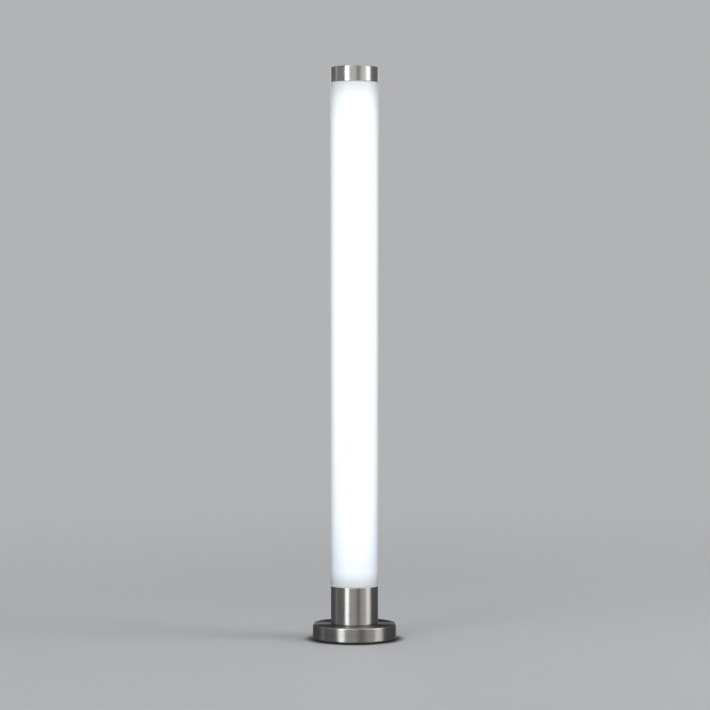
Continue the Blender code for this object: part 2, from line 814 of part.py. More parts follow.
# ---------------------------------------------------------------- foot switch
def make_switch(m):
    """Foot switch: flanged barrel, its nut under the shell, the moving button and the switch body."""
    floor = BASE_BOTTOM + 19 * MM
    place = (0, SWITCH_Y, 0)
    bore, flange = BUTTON_RADIUS + REST_GAP, 11 * MM
    stem, stem_hole = 1.9 * MM, 2.3 * MM
    turned(
        "switch_bezel",
        [
            (flange, BASE_TOP + REST_GAP),
            (flange, BEZEL_TOP - 0.4 * MM),
            (flange - 0.4 * MM, BEZEL_TOP),
            (bore, BEZEL_TOP),
            (bore, floor + 2 * MM),
            (stem_hole, floor + 2 * MM),
            (stem_hole, floor),
            (SWITCH_BARREL, floor),
            (SWITCH_BARREL, BASE_TOP + REST_GAP),
        ],
        m["brushed_steel"],
        MEDIUM,
        at=place,
    )
    nut_hole = circle(SWITCH_BARREL + REST_GAP, MEDIUM)
    nut_top = SHELL_CEILING - REST_GAP
    prism("switch_nut", [hexagon(22 * MM), nut_hole], nut_top - 3 * MM, nut_top, m["zinc"], at=place[:2])
    underside, stem_end = floor + 9 * MM, floor - 1.5 * MM
    turned(
        "foot_button",
        [
            (0, BEZEL_TOP + 4.4 * MM),
            (4 * MM, BEZEL_TOP + 4 * MM),
            (7 * MM, BEZEL_TOP + 2.8 * MM),
            (BUTTON_RADIUS, BEZEL_TOP + 1.6 * MM),
            (BUTTON_RADIUS, underside),
            (stem, underside),
            (stem, stem_end),
            (0, stem_end),
        ],
        m["brushed_steel"],
        MEDIUM,
        at=place,
    )
    body_top = floor - REST_GAP
    body_bottom, body_radius = body_top - 8.7 * MM, SWITCH_BARREL - 0.3 * MM
    well, well_floor = 2.5 * MM, stem_end - BUTTON_TRAVEL - 1 * MM
    turned(
        "switch_body",
        [
            (0, well_floor),
            (well, well_floor),
            (well, body_top),
            (body_radius, body_top),
            (body_radius, body_bottom + 1 * MM),
            (body_radius - 1 * MM, body_bottom),
            (0, body_bottom),
        ],
        m["black_plastic"],
        COARSE,
        at=place,
    )
    make_spring(m, floor + 2 * MM + REST_GAP, underside - REST_GAP)


def make_spring(m, bottom, top):
    """Return spring under the button: a helix of round wire about the button's stem."""
    wire, radius, turns, steps = 0.4 * MM, 4.6 * MM, 3, 12
    curve = bpy.data.curves.new("button_spring", "CURVE")
    curve.dimensions = "3D"
    curve.bevel_depth = wire
    curve.bevel_resolution = 0
    curve.use_fill_caps = True
    count = turns * steps + 1
    spline = curve.splines.new("POLY")
    spline.points.add(count - 1)
    low, high = bottom + wire, top - wire
    for index, knot in enumerate(spline.points):
        turn = 2 * math.pi * index / steps
        height = low + (high - low) * index / (count - 1)
        knot.co = (radius * math.cos(turn), radius * math.sin(turn), height, 1)
    add_object("button_spring", curve, m["zinc"]).location = (0, SWITCH_Y, 0)


# ---------------------------------------------------------------- internal leads, routes in millimetres
def make_leads(m):
    poles = (("positive", -1, "red_wire"), ("negative", 1, "black_wire"))
    for pole, side, finish in poles:
        lead(
            f"led_lead_{pole}",
            [
                (-22 + 2.5 * side, 33, 22.3),
                (-21 + 2.5 * side, 32.4, 24.8),
                (-12 + 2 * side, 27.5 + 1.5 * side, 26.6),
                (-2 + 2 * side, 21.2, 27.6),
                (1.7 * side, 20, 34),
                (2 * side, 20.5, 44),
                (2.2 * side, 27, 66),
                (2.2 * side, 32.5, 90),
                (2.2 * side, 33, 107),
            ],
            m[finish],
        )
    for pole, side, finish in poles:
        lead(
            f"inlet_lead_{pole}",
            [
                (1.9 * side, 78.5, 10.3),
                (2 + 1.8 * side, 78, 8.6),
                (9 + 1.8 * side, 72, 8.2),
                (17 + 2.2 * side, 64, 12),
                (20 + 2.5 * side, 58.5, 17.2),
                (20 + 2.5 * side, 54.7, 17.5),
            ],
            m[finish],
        )
    for number, (_, side, finish) in enumerate(poles, 1):
        lead(
            f"switch_lead_{number}",
            [
                (3.5 * side, 66 - 1.2 * side, 12.6),
                (3.2 * side - 1, 65.5 - 1.2 * side, 10),
                (-9 + 1.5 * side, 62 - 1.5 * side, 8.8),
                (-17 + 2.4 * side, 61 - side, 13),
                (-20 + 2.5 * side, 58.5, 17.2),
                (-20 + 2.5 * side, 54.7, 17.5),
            ],
            m[finish],
        )


def main():
    clear_scene()
    m = all_materials()
    make_base(m)
    make_ballast(m)
    make_bottom_plate(m)
    make_plate_screws(m)
    make_foot_ring(m)
    make_hub(m)
    make_hub_bolts(m)
    make_collar(m)
    make_seat(m)
    make_seals(m)
    make_tube(m)
    make_spigot(m)
    make_neck_ring(m)
    make_cap(m)
    make_tie_rod(m)
    make_core(m)
    make_boards(m)
    make_junction_board(m)
    make_driver(m)
    make_inlet(m)
    make_switch(m)
    make_leads(m)


main()
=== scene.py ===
import json
import math

import bmesh
import bpy
from mathutils import Matrix, Vector

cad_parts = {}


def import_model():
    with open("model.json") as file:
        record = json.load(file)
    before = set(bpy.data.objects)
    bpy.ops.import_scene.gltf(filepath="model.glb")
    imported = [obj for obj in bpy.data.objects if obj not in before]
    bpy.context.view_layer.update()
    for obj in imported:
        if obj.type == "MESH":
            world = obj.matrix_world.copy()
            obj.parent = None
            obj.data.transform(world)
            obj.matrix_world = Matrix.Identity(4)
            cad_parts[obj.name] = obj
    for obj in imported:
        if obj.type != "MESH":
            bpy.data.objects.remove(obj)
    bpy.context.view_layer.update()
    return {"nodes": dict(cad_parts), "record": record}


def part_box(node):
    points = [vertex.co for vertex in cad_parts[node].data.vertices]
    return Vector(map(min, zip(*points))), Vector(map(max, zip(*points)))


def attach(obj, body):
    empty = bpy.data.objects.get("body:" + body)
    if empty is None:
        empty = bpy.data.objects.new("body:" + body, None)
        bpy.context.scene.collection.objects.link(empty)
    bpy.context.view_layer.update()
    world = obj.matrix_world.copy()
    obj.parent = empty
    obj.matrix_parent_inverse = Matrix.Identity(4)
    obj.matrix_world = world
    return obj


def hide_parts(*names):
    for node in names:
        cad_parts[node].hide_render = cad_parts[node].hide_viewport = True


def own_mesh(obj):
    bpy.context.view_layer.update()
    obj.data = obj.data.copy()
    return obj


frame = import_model()

MM = 0.001
# Facets round a turned piece, from the lamp's own diameter down to a pin
TURN_STEPS = 160
MIDSIZE_STEPS = 96
SMALL_STEPS = 64
PIN_STEPS = 48
# A profile point nearer to the axis than this lies on it
ON_AXIS = 1e-9
SLEEVE_WALL = 1.8 * MM
ROD_HOLE = 4.5 * MM

# The photograph's viewpoint: a long lens at table height, looking almost level. The position is
# in metres, the pitch in degrees down, and the lens and its sensor in millimetres.
CAMERA_DISTANCE = 4.846
CAMERA_HEIGHT = 0.6756
CAMERA_SIDE = 0.00105
CAMERA_PITCH = 0.925
CAMERA_LENS = 116.96
SENSOR_WIDTH = 36
CAMERA_REACH = 200

# The pale surroundings, and the floor that turns into them far away
BACKDROP = (0.445, 0.45, 0.46)
FLOOR_RADIUS = 150
FLOOR_FADE_REACH = 5.0
FLOOR_FADE_SHARE = 0.45
# A painted contact shadow on the floor round the base: its width, and the share of the paint left at the
# base's edge
CONTACT_SHADE_WIDTH = 24 * MM
CONTACT_SHADE = 0.08

# The tube's own light, then its share and its tint from the tube's foot (0) to its top (1)
GLOW_STRENGTH = 1.97
GLOW_ALONG = [
    (0.0, 0.39),
    (0.012, 0.48),
    (0.018, 0.58),
    (0.03, 0.705),
    (0.07, 0.79),
    (0.15, 0.885),
    (0.5, 1.0),
    (0.8, 1.0),
    (0.928, 0.92),
    (0.968, 0.76),
    (0.982, 0.635),
    (0.99, 0.55),
    (1.0, 0.48),
]
GLOW_TINT = [
    (0.0, (0.93, 0.97, 1.0)),
    (0.06, (0.88, 0.93, 1.0)),
    (0.2, (0.97, 1.0, 1.0)),
    (0.9, (0.97, 1.0, 1.0)),
    (1.0, (0.94, 0.98, 1.0)),
]

# What the metal reflects, all round the lamp: an even dim studio and these upright lights.
# Each has its middle, half width and soft edge in degrees round from the camera's side towards
# its right, then its brightness and colour.
DIM_STUDIO = (0.165, 0.168, 0.17)
TALL_LIGHTS = {
    "left_box": (-37, 9, 4, 3.0, (0.95, 1.0, 0.99)),
    "front_fill": (-6, 18, 22, 0.50, (1.0, 0.99, 0.97)),
    "right_fill": (45, 17, 26, 0.57, (1.0, 0.985, 0.97)),
    "right_box": (72, 12, 8, 1.65, (1.0, 0.975, 0.955)),
    "far_strip": (-98, 7, 10, 0.26, (0.97, 0.99, 1.0)),
    "left_wing": (-66, 16, 14, 0.08, (0.97, 0.99, 1.0)),
    "rear_left_wing": (-130, 18, 24, 0.025, (0.97, 0.99, 1.0)),
    "rear_right_wing": (122, 20, 24, 0.02, (1.0, 0.985, 0.97)),
}
# The tall lights' share low down, where the collar and the base reflect them, and the heights
# between which it rises to the whole. Heights run from -1 straight down to 1 straight up.
LOW_SHARE = 0.74
SHARE_RISE = (-0.12, 0.1)
# These stand low behind the lamp. Only its upright sides reflect them, not the base's flat top.
LOW_LIGHTS = {
    "rear_left": (-171, 6, 5, 1.4, (0.97, 0.99, 1.0)),
    "rear_right": (165, 8, 8, 0.7, (1.0, 0.985, 0.97)),
}
LOW_LIGHT_TOP = 0.12
LOW_LIGHT_EDGE = 0.04
# Where the studio behind the lamp is dark: middle, half width, soft edge and share left, then
# the height that the gap reaches up to from the low lights' top, and its soft edge there
REAR_GAP = (180, 60, 50, 0.2)
REAR_GAP_TOP = 0.8
REAR_GAP_EDGE = 0.3
# How bright all of it is by height: strongest just above the level, where the lights stand,
# about half as bright overhead, and dim below
STUDIO_STRENGTH = 2.38
STUDIO_LEVELS = [
    (-1.0, 0.20),
    (-0.45, 0.12),
    (-0.25, 0.13),
    (-0.15, 0.125),
    (-0.12, 0.138),
    (0.0, 0.34),
    (0.1, 0.99),
    (0.15, 0.90),
    (0.35, 0.66),
    (0.6, 0.55),
    (0.8, 0.58),
    (1.0, 0.55),
]


# ---------------------------------------------------------------- node helpers
def node(tree, kind, inputs=None, **settings):
    """Adds a node. An input's value is either a socket to link from or a plain value."""
    made = tree.nodes.new(kind)
    for key, value in settings.items():
        setattr(made, key, value)
    for key, value in (inputs or {}).items():
        if isinstance(value, bpy.types.NodeSocket):
            tree.links.new(value, made.inputs[key])
        else:
            made.inputs[key].default_value = value
    return made


def maths(tree, operation, first, second=0.0):
    return node(tree, "ShaderNodeMath", {0: first, 1: second}, operation=operation).outputs[0]


def mixed(tree, first, second, share):
    """share of the first value and the rest of the second, added up."""
    first_part = maths(tree, "MULTIPLY", first, share)
    second_part = maths(tree, "MULTIPLY", second, 1 - share)
    return maths(tree, "ADD", first_part, second_part)


def scaled(tree, colour, amount):
    inputs = {0: colour, "Scale": amount}
    return node(tree, "ShaderNodeVectorMath", inputs, operation="SCALE").outputs[0]


def length_of(tree, vector):
    return node(tree, "ShaderNodeVectorMath", {0: vector}, operation="LENGTH").outputs["Value"]


def ramp(tree, value, stops):
    """A colour ramp. stops is a list of (position, grey or colour)."""
    made = node(tree, "ShaderNodeValToRGB", {"Fac": value})
    elements = made.color_ramp.elements
    while len(elements) < len(stops):
        elements.new(0.5)
    for element, (position, colour) in zip(elements, stops):
        element.position = position
        element.color = (*colour, 1) if isinstance(colour, tuple) else (colour, colour, colour, 1)
    return made.outputs["Color"]


def noise(tree, vector, scale, detail=3.0, roughness=0.5):
    inputs = {"Vector": vector, "Scale": scale, "Detail": detail, "Roughness": roughness}
    return node(tree, "ShaderNodeTexNoise", inputs).outputs["Fac"]


def place(tree):
    """Position on the object at rest, in metres in the row frame."""
    return node(tree, "ShaderNodeTexCoord").outputs["Object"]


def span(tree, value, start, end, low=0.0, high=1.0, curve="LINEAR"):
    """Maps start..end to low..high, and holds those outside it."""
    inputs = {"Value": value, "From Min": start, "From Max": end, "To Min": low, "To Max": high}
    return node(tree, "ShaderNodeMapRange", inputs, interpolation_type=curve).outputs[0]


def between(tree, value, low, high):
    """Maps 0..1 to low..high."""
    return span(tree, value, 0.0, 1.0, low, high)


def plateau(tree, value, half, soft):
    """1 where value is well under half, 0 well above it, with a smooth edge."""
    return span(tree, value, half - soft / 2, half + soft / 2, 1.0, 0.0, curve="SMOOTHSTEP")


def bump(tree, height, strength, distance):
    inputs = {"Height": height, "Strength": strength, "Distance": distance}
    return node(tree, "ShaderNodeBump", inputs).outputs["Normal"]


def new_material(name):
    made = bpy.data.materials.new(name)
    made.use_nodes = True
    return made, made.node_tree, made.node_tree.nodes["Principled BSDF"]


def feed(tree, shader, **inputs):
    """Links or sets the shader's inputs. An underscore in a keyword stands for a space."""
    for key, value in inputs.items():
        socket = shader.inputs[key.replace("_", " ")]
        if isinstance(value, bpy.types.NodeSocket):
            tree.links.new(value, socket)
        else:
            socket.default_value = value


# ---------------------------------------------------------------- materials
def turned_lines(tree, centre, arc_scale, line_scale):
    """Coordinates that change fast across lines round a vertical axis and slowly along them."""
    part = node(tree, "ShaderNodeSeparateXYZ", {"Vector": place(tree)})
    x = maths(tree, "SUBTRACT", part.outputs["X"], centre[0])
    y = maths(tree, "SUBTRACT", part.outputs["Y"], centre[1])
    x_squared = maths(tree, "MULTIPLY", x, x)
    y_squared = maths(tree, "MULTIPLY", y, y)
    radius = maths(tree, "SQRT", maths(tree, "ADD", x_squared, y_squared))
    across = maths(tree, "ADD", part.outputs["Z"], radius)
    inputs = {
        "X": maths(tree, "MULTIPLY", x, arc_scale),
        "Y": maths(tree, "MULTIPLY", y, arc_scale),
        "Z": maths(tree, "MULTIPLY", across, line_scale),
    }
    return node(tree, "ShaderNodeCombineXYZ", inputs).outputs["Vector"]


def inside_radius_mask(tree, radius):
    """1 inside the radius and 0 outside it, with a narrow edge."""
    inputs = {0: place(tree), 1: (1, 1, 0)}
    level = node(tree, "ShaderNodeVectorMath", inputs, operation="MULTIPLY").outputs[0]
    return plateau(tree, length_of(tree, level), radius, 2 * MM)


def brushed_steel(name, centre=(0, 0), colour=(0.56, 0.55, 0.535), spread=0.88, polish=0.29, shaded_flat_radius=None):
    """Steel or aluminium with fine lines round the turning axis.

    spread is how far the lines draw a highlight out across them, and polish is the roughness.
    The last argument gives the radius inside which the colour is darkened, a painted shade on the flat
    top, and the finish is rougher.
    """
    flat_painted_shade, dull_roughness = 0.44, 0.10
    made, tree, shader = new_material(name)
    fine_lines = turned_lines(tree, centre, arc_scale=9, line_scale=2600)
    broad_lines = turned_lines(tree, centre, arc_scale=5, line_scale=160)
    fine = noise(tree, fine_lines, scale=1.0, detail=4, roughness=0.6)
    broad = noise(tree, broad_lines, scale=1.0, detail=2)
    smudge = noise(tree, place(tree), scale=18)
    dark = tuple(0.86 * value for value in colour)
    light = tuple(min(1, 1.12 * value) for value in colour)
    paint = ramp(tree, mixed(tree, fine, broad, 0.7), [(0.3, dark), (0.7, light)])
    rough = between(tree, smudge, polish - 0.03, polish + 0.03)
    # Painted shade: inside the radius the flat's colour is darkened, and its roughness is raised as well.
    if shaded_flat_radius is not None:
        flat = inside_radius_mask(tree, shaded_flat_radius)
        paint = scaled(tree, paint, between(tree, flat, 1.0, flat_painted_shade))
        rough = maths(tree, "ADD", rough, maths(tree, "MULTIPLY", flat, dull_roughness))
    tangent = node(tree, "ShaderNodeTangent", direction_type="RADIAL", axis="Z").outputs["Tangent"]
    feed(
        tree,
        shader,
        Base_Color=paint,
        Metallic=1.0,
        Roughness=maths(tree, "ADD", rough, maths(tree, "MULTIPLY", fine, 0.06)),
        Anisotropic=spread,
        Anisotropic_Rotation=0.25,
        Tangent=tangent,
        Normal=bump(tree, fine, strength=0.10, distance=0.05 * MM),
    )
    return made


def opal(name, bottom, top):
    """Opal acrylic lit from inside: full along the middle and dimmer at both ends."""
    made, tree, shader = new_material(name)
    height = node(tree, "ShaderNodeSeparateXYZ", {"Vector": place(tree)}).outputs["Z"]
    share = span(tree, height, bottom, top)
    cloud = between(tree, noise(tree, place(tree), scale=14), 0.985, 1.015)
    along = maths(tree, "MULTIPLY", ramp(tree, share, GLOW_ALONG), cloud)
    pores = noise(tree, place(tree), scale=900, detail=2)
    feed(
        tree,
        shader,
        Base_Color=ramp(tree, pores, [(0.3, (0.76, 0.79, 0.80)), (0.7, (0.84, 0.87, 0.88))]),
        Roughness=between(tree, pores, 0.32, 0.42),
        Emission_Color=ramp(tree, share, GLOW_TINT),
        Emission_Strength=maths(tree, "MULTIPLY", along, GLOW_STRENGTH),
        Coat_Weight=1.0,
        Coat_Roughness=0.25,
        Coat_IOR=1.1,
        Coat_Tint=(0.555, 0.562, 0.568, 1),
        Normal=bump(tree, pores, strength=0.04, distance=0.05 * MM),
    )
    return made


def grainy(name, dark, light, scale, roughness, metallic=0.0, relief=0.1, depth=0.1 * MM):
    """A moulded, cast or plated surface: mottled colour with a fine relief."""
    made, tree, shader = new_material(name)
    grain = noise(tree, place(tree), scale, detail=4, roughness=0.6)
    broad = noise(tree, place(tree), scale / 12, detail=2)
    feed(
        tree,
        shader,
        Base_Color=ramp(tree, mixed(tree, grain, broad, 0.6), [(0.32, dark), (0.68, light)]),
        Metallic=metallic,
        Roughness=between(tree, grain, roughness - 0.06, roughness + 0.08),
        Normal=bump(tree, grain, relief, depth),
    )
    return made


def silicone_painted_glow(name):
    """Pale silicone with a painted glow where it touches the lit tube."""
    made = grainy(name, (0.50, 0.51, 0.52), (0.60, 0.61, 0.62), scale=900, roughness=0.55)
    shader = made.node_tree.nodes["Principled BSDF"]
    feed(made.node_tree, shader, Emission_Color=(0.94, 0.98, 1.0, 1), Emission_Strength=0.45)
    return made


def circuit_board(name):
    """Green solder mask over faint copper tracks."""
    made, tree, shader = new_material(name)
    inputs = {"Vector": place(tree), "Scale": 160.0, "Randomness": 1.0}
    cells = node(tree, "ShaderNodeTexVoronoi", inputs, feature="DISTANCE_TO_EDGE")
    from_edge = cells.outputs["Distance"]
    feed(
        tree,
        shader,
        Base_Color=ramp(tree, from_edge, [(0.06, (0.05, 0.30, 0.13)), (0.1, (0.02, 0.16, 0.07))]),
        Roughness=0.35,
        Normal=bump(tree, from_edge, strength=0.05, distance=0.05 * MM),
    )
    return made


def turned_metals():
    switch_centre = tuple(middle_of("foot_button"))[:2]
    return {
        # The cap's and the base's flat tops carry a painted shade.
        "brushed_steel": brushed_steel("cap_lines_painted_shade_top", shaded_flat_radius=48 * MM),
        # The collar and the base are darker copies of the cap's steel: painted shade low down.
        "collar_steel": brushed_steel("collar_lines_painted_shade", colour=(0.485, 0.476, 0.463)),
        "base_steel": brushed_steel("base_lines_painted_shade", colour=(0.398, 0.391, 0.382), shaded_flat_radius=84.5 * MM),
        "switch_steel": brushed_steel("switch_steel_lines", switch_centre, spread=0.6, polish=0.26),
        "turned_aluminium": brushed_steel(
            "aluminium_lines", colour=(0.72, 0.73, 0.75), spread=0.5, polish=0.36
        ),
        "plate_steel": brushed_steel("plate_lines", colour=(0.60, 0.61, 0.63), spread=0.4, polish=0.38),
    }


def rough_metals():
    return {
        "ballast_iron": grainy(
            "cast_grain",
            (0.09, 0.09, 0.095),
            (0.17, 0.17, 0.18),
            scale=500,
            roughness=0.65,
            metallic=0.5,
            relief=0.5,
            depth=0.4 * MM,
        ),
        "zinc_steel": grainy(
            "zinc_bloom",
            (0.50, 0.51, 0.53),
            (0.68, 0.69, 0.70),
            scale=260,
            roughness=0.32,
            metallic=1.0,
            relief=0.05,
            depth=0.05 * MM,
        ),
        "copper_winding": grainy(
            "winding_enamel",
            (0.42, 0.16, 0.06),
            (0.66, 0.30, 0.12),
            scale=700,
            roughness=0.35,
            metallic=0.8,
        ),
    }


def plastics():
    tube_low, tube_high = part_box("diffuser_tube")
    return {
        "opal_diffuser": opal("opal_glow", tube_low.z, tube_high.z),
        "grey_silicone": silicone_painted_glow("silicone_grain_painted_glow"),
        "black_rubber": grainy(
            "rubber_grain",
            (0.018, 0.018, 0.019),
            (0.04, 0.04, 0.042),
            scale=1400,
            roughness=0.72,
            relief=0.3,
        ),
        "black_plastic": grainy(
            "plastic_grain",
            (0.014, 0.014, 0.015),
            (0.03, 0.03, 0.031),
            scale=1800,
            roughness=0.42,
            relief=0.2,
            depth=0.05 * MM,
        ),
        "circuit_board": circuit_board("solder_mask"),
        "white_board": grainy("board_white", (0.78, 0.78, 0.72), (0.90, 0.89, 0.84), 300, 0.4),
        "red_wire": grainy("wire_red", (0.42, 0.015, 0.012), (0.55, 0.03, 0.02), 500, 0.45),
        "black_wire": grainy("wire_black", (0.012, 0.012, 0.012), (0.03, 0.03, 0.03), 500, 0.45),
    }


def dress_cad_nodes(materials):
    """Gives every CAD node the procedural material of its slot in the record."""
    for entry in frame["record"]["subparts"]:
        mesh = frame["nodes"][entry["node"]].data
        mesh.materials.clear()
        mesh.materials.append(materials[entry["material_slot"]])


# ---------------------------------------------------------------- shape helpers
def middle_of(cad_node):
    low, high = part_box(cad_node)
    return (low + high) / 2


def circle(steps):
    """Angles of a full turn in equal steps."""
    return [2 * math.pi * step / steps for step in range(steps)]


def rounded(corners, steps=7):
    """Profile points from (radius, height, rounding) corners of a closed outline.

    A corner with no rounding stays sharp. Each rounding is an arc tangent to both sides. A point
    just beyond each arc keeps its tilt out of the shading of the straight side next to it.
    """
    points = []
    count = len(corners)
    for index, (radius, height, rounding) in enumerate(corners):
        here = Vector((radius, height))
        if rounding == 0:
            points.append(tuple(here))
            continue
        to_before = Vector(corners[index - 1][:2]) - here
        to_after = Vector(corners[(index + 1) % count][:2]) - here
        before, after = to_before.normalized(), to_after.normalized()
        half = before.angle(after) / 2
        reach = rounding / math.tan(half)
        centre = here + (before + after).normalized() * rounding / math.sin(half)
        start = here + before * reach - centre
        turn = start.angle_signed(here + after * reach - centre)
        support = reach + max(0.15 * MM, 0.2 * rounding)
        shortest_side = 3 * support + 1 * MM
        if to_before.length > shortest_side:
            points.append(tuple(here + before * support))
        for step in range(steps + 1):
            angle = -turn * step / steps
            c, s = math.cos(angle), math.sin(angle)
            points.append((centre.x + c * start.x - s * start.y, centre.y + s * start.x + c * start.y))
        if to_after.length > shortest_side:
            points.append(tuple(here + after * support))
    return points


def skin(rings, steps, closed):
    """Faces between neighbouring rings of points. A closed skin also joins the last ring to the first."""
    shape = bmesh.new()
    made = []
    for ring in rings:
        if len(ring) == 1:
            made.append([shape.verts.new(ring[0])] * steps)
        else:
            made.append([shape.verts.new(point) for point in ring])
    pairs = list(zip(made, made[1:] + made[:1]))
    for first, second in pairs if closed else pairs[:-1]:
        for step in range(steps):
            after = (step + 1) % steps
            corners = [first[step], first[after], second[after], second[step]]
            shape.faces.new(list(dict.fromkeys(corners)))
    return shape


def finish_piece(name, shape, body, material, replaced, sharp=30):
    """Turns a bmesh into a shaded object that has its finish and rides on its CAD body."""
    bmesh.ops.recalc_face_normals(shape, faces=shape.faces)
    mesh = bpy.data.meshes.new(name)
    shape.to_mesh(mesh)
    shape.free()
    mesh.shade_smooth()
    mesh.set_sharp_from_angle(angle=math.radians(sharp))
    obj = bpy.data.objects.new(name, mesh)
    bpy.context.scene.collection.objects.link(obj)
    mesh.materials.append(material)
    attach(obj, body)
    for cad_node in replaced:
        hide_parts(cad_node)
    return obj


def turned(name, corners, body, material, replaced, at=(0, 0, 0), steps=TURN_STEPS, tilt=None):
    """A piece turned about Z from its section, placed, finished and tied to its CAD body."""
    rings = []
    for radius, height in rounded(corners):
        if radius < ON_AXIS:
            rings.append([(0, 0, height)])
            continue
        rings.append([(radius * math.cos(t), radius * math.sin(t), height) for t in circle(steps)])
    starts_on_axis = len(rings[0]) == 1
    shape = skin(rings, steps, closed=not starts_on_axis)
    if tilt is not None:
        bmesh.ops.rotate(shape, cent=(0, 0, 0), matrix=tilt, verts=shape.verts)
    bmesh.ops.translate(shape, vec=Vector(at), verts=shape.verts)
    return finish_piece(name, shape, body, material, replaced)


def carve(obj, cutters):
    """Cuts the holes out of obj, leaves plain mesh and joins its points that fell together."""
    for cutter in cutters:
        modifier = obj.modifiers.new("hole", "BOOLEAN")
        modifier.operation = "DIFFERENCE"
        modifier.solver = "EXACT"
        modifier.object = cutter
    carved = bpy.data.meshes.new_from_object(obj.evaluated_get(bpy.context.evaluated_depsgraph_get()))
    obj.modifiers.clear()
    obj.data = carved
    shape = bmesh.new()
    shape.from_mesh(carved)
    bmesh.ops.remove_doubles(shape, verts=shape.verts, dist=0.0001 * MM)
    shape.to_mesh(carved)
    shape.free()
    for cutter in cutters:
        bpy.data.objects.remove(cutter)


def cutter_object(name, shape, at):
    mesh = bpy.data.meshes.new(name)
    shape.to_mesh(mesh)
    shape.free()
    obj = bpy.data.objects.new(name, mesh)
    bpy.context.scene.collection.objects.link(obj)
    obj.location = at
    return obj


def hole_cutter(name, radius, length, at, along_y=False, end_radius=None):
    """A plain round or conical cutter, removed once it has been used."""
    shape = bmesh.new()
    end = radius if end_radius is None else end_radius
    bmesh.ops.create_cone(
        shape, cap_ends=True, segments=SMALL_STEPS, radius1=radius, radius2=end, depth=length
    )
    # Half a step round, so that no corner of the hole falls on an edge of the piece's own
    turn = Matrix.Rotation(math.pi / SMALL_STEPS, 3, "Z")
    bmesh.ops.rotate(shape, cent=(0, 0, 0), matrix=turn, verts=shape.verts)
    obj = cutter_object(name, shape, at)
    if along_y:
        obj.rotation_euler = (math.radians(90), 0, 0)
    return obj


def bar_cutter(name, long, wide, deep, at, turn):
    """One bar of a cross recess. It narrows towards its inner end."""
    inner_length, inner_width = 0.45, 0.7
    shape = bmesh.new()
    bmesh.ops.create_cube(shape, size=1)
    for vert in shape.verts:
        inner = vert.co.z > 0
        vert.co.x *= long * (inner_length if inner else 1)
        vert.co.y *= wide * (inner_width if inner else 1)
        vert.co.z *= deep
    bmesh.ops.rotate(shape, cent=(0, 0, 0), matrix=Matrix.Rotation(turn, 3, "Z"), verts=shape.verts)
    return cutter_object(name, shape, at)


# ---------------------------------------------------------------- cap, tube and collar
def cap(m):
    """Closed at its top. It slides over the spigot's neck."""
    low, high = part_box("top_cap")
    r, roof = high.x, 2.5 * MM
    turned(
        "cap_shell",
        [
            (0, high.z, 0),
            (r, high.z, 1.4 * MM),
            (r, low.z, 0.4 * MM),
            (r - SLEEVE_WALL, low.z, 0.3 * MM),
            (r - SLEEVE_WALL, high.z - roof, 1.2 * MM),
            (0, high.z - roof, 0),
        ],
        "cap",
        m["brushed_steel"],
        ["top_cap"],
    )


def tube(m):
    low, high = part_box("diffuser_tube")
    r, wall = high.x, 4 * MM
    turned(
        "opal_tube",
        [
            (r - wall, low.z, 0.4 * MM),
            (r, low.z, 2.4 * MM),
            (r, high.z, 2.4 * MM),
            (r - wall, high.z, 0.4 * MM),
        ],
        "lamp",
        m["opal_diffuser"],
        ["diffuser_tube"],
    )


def collar(m):
    low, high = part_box("collar")
    r = high.x
    turned(
        "collar_sleeve",
        [
            (r - SLEEVE_WALL, low.z, 0.3 * MM),
            (r, low.z, 1.4 * MM),
            (r, high.z, 0.4 * MM),
            (r - SLEEVE_WALL, high.z, 0.3 * MM),
        ],
        "lamp",
        m["collar_steel"],
        ["collar"],
    )


# ---------------------------------------------------------------- base and what stands under it
def base(m):
    """Cover with rounded edges, drilled for the rod, switch, inlet, leads and bolts."""
    low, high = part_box("base_shell")
    r, wall, roof = high.x, 2.5 * MM, 3 * MM
    shell = turned(
        "base_cover",
        [
            (ROD_HOLE, high.z, 0),
            (r, high.z, 3 * MM),
            (r, low.z, 1.8 * MM),
            (r - wall, low.z, 0.3 * MM),
            (r - wall, high.z - roof, 1.5 * MM),
            (ROD_HOLE, high.z - roof, 0),
        ],
        "lamp",
        m["base_steel"],
        ["base_shell"],
    )
    drilled, lead_y = 12 * MM, 20 * MM
    switch_radius, inlet_radius, lead_radius, bolt_radius = 9.4 * MM, 7.35 * MM, 5 * MM, 2.8 * MM
    switch_at = (0, middle_of("switch_bezel").y, high.z)
    inlet_at = (0, r, middle_of("dc_inlet").z)
    cutters = [
        hole_cutter("switch_hole", switch_radius, drilled, switch_at),
        hole_cutter("inlet_hole", inlet_radius, drilled, inlet_at, along_y=True),
        hole_cutter("wire_hole", lead_radius, drilled, (0, lead_y, high.z)),
    ]
    for number in (1, 2, 3):
        bolt = middle_of(f"hub_bolt_{number}")
        cutters.append(hole_cutter("bolt_hole", bolt_radius, drilled, (bolt.x, bolt.y, high.z)))
    carve(shell, cutters)


